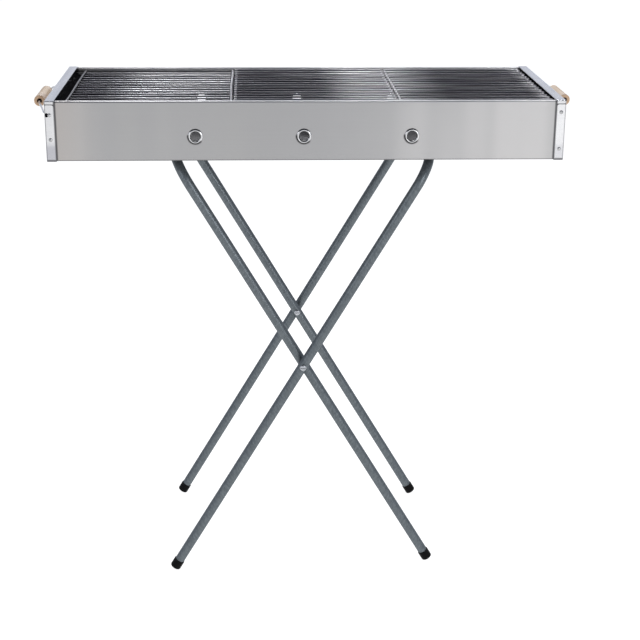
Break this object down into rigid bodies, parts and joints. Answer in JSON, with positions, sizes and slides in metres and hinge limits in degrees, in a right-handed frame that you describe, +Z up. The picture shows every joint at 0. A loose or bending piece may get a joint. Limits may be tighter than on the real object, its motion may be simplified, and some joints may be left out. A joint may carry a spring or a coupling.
{
  "type": "folding camp grill",
  "caption": "Long charcoal grill: open steel trough with lift-out wire grates, side vents and roller grips, on a folding X stand of two bent tube frames.",
  "frame": {"origin": "on the ground under the centre of the trough", "axes": "+X along the trough, +Y towards the rear wall, +Z up"},
  "size_m": [0.865, 0.335, 0.809],
  "materials": {
    "stainless_sheet": "bright brushed stainless sheet",
    "end_cap_sheet": "bright stainless sheet",
    "rivet_steel": "satin",
    "bright_wire": "bright drawn wire",
    "pressed_eyelet": "bright pressed sheet",
    "ledge_steel": "dull",
    "bracket_zinc": "dull zinc plate",
    "beech": "sanded, unvarnished",
    "grate_wire": "dull drawn wire",
    "hammertone_paint": "slate-grey hammered enamel",
    "foot_rubber": "matt black",
    "bolt_zinc": "bright zinc plate"
  },
  "bodies": {
    "trough": {"trough_shell": "stainless_sheet", "left_end_cap": "end_cap_sheet", "right_end_cap": "end_cap_sheet", "left_cap_rivets": "rivet_steel", "right_cap_rivets": "rivet_steel", "bracket_rivets": "rivet_steel", "left_bail_wire": "bright_wire", "right_bail_wire": "bright_wire", "front_vent_left": "pressed_eyelet", "front_vent_centre": "pressed_eyelet", "front_vent_right": "pressed_eyelet", "rear_vent_left": "pressed_eyelet", "rear_vent_centre": "pressed_eyelet", "rear_vent_right": "pressed_eyelet", "front_grate_ledge": "ledge_steel", "rear_grate_ledge": "ledge_steel", "front_hinge_saddle": "bracket_zinc", "rear_hinge_saddle": "bracket_zinc", "front_stop_bracket": "bracket_zinc", "rear_stop_bracket": "bracket_zinc"},
    "outer_frame": {"outer_leg_frame": "hammertone_paint", "front_outer_foot": "foot_rubber", "rear_outer_foot": "foot_rubber"},
    "inner_frame": {"inner_leg_frame": "hammertone_paint", "front_inner_foot": "foot_rubber", "rear_inner_foot": "foot_rubber", "front_pivot_bolt": "bolt_zinc", "rear_pivot_bolt": "bolt_zinc", "front_pivot_nut": "bolt_zinc", "rear_pivot_nut": "bolt_zinc", "front_pivot_washer": "bolt_zinc", "rear_pivot_washer": "bolt_zinc"},
    "left_grip": {"left_grip": "beech"},
    "right_grip": {"right_grip": "beech"},
    "left_grate": {"left_grate": "grate_wire"},
    "centre_grate": {"centre_grate": "grate_wire"},
    "right_grate": {"right_grate": "grate_wire"}
  },
  "joints": [
    {"name": "outer_frame_fold", "type": "hinge", "parent": "trough", "child": "outer_frame", "pos_m": [0.19687, 0, 0.7077], "axis": [0, -1, 0], "range_deg": [0, 27.5]},
    {"name": "inner_frame_fold", "type": "hinge", "parent": "outer_frame", "child": "inner_frame", "pos_m": [-0.005, 0, 0.369], "axis": [0, -1, 0], "range_deg": [-55, 0]},
    {"name": "left_grip_spin", "type": "hinge", "parent": "trough", "child": "left_grip", "pos_m": [-0.4235, 0, 0.7875], "axis": [0, 1, 0], "continuous": true},
    {"name": "right_grip_spin", "type": "hinge", "parent": "trough", "child": "right_grip", "pos_m": [0.4235, 0, 0.7875], "axis": [0, 1, 0], "continuous": true},
    {"name": "left_grate_lift", "type": "slide", "parent": "trough", "child": "left_grate", "axis": [0, 0, 1], "range_m": [0, 0.12]},
    {"name": "centre_grate_lift", "type": "slide", "parent": "trough", "child": "centre_grate", "axis": [0, 0, 1], "range_m": [0, 0.12]},
    {"name": "right_grate_lift", "type": "slide", "parent": "trough", "child": "right_grate", "axis": [0, 0, 1], "range_m": [0, 0.12]}
  ],
  "couplings": [
    {"joint": "inner_frame_fold", "follows": "outer_frame_fold", "ratio": -2}
  ]
}
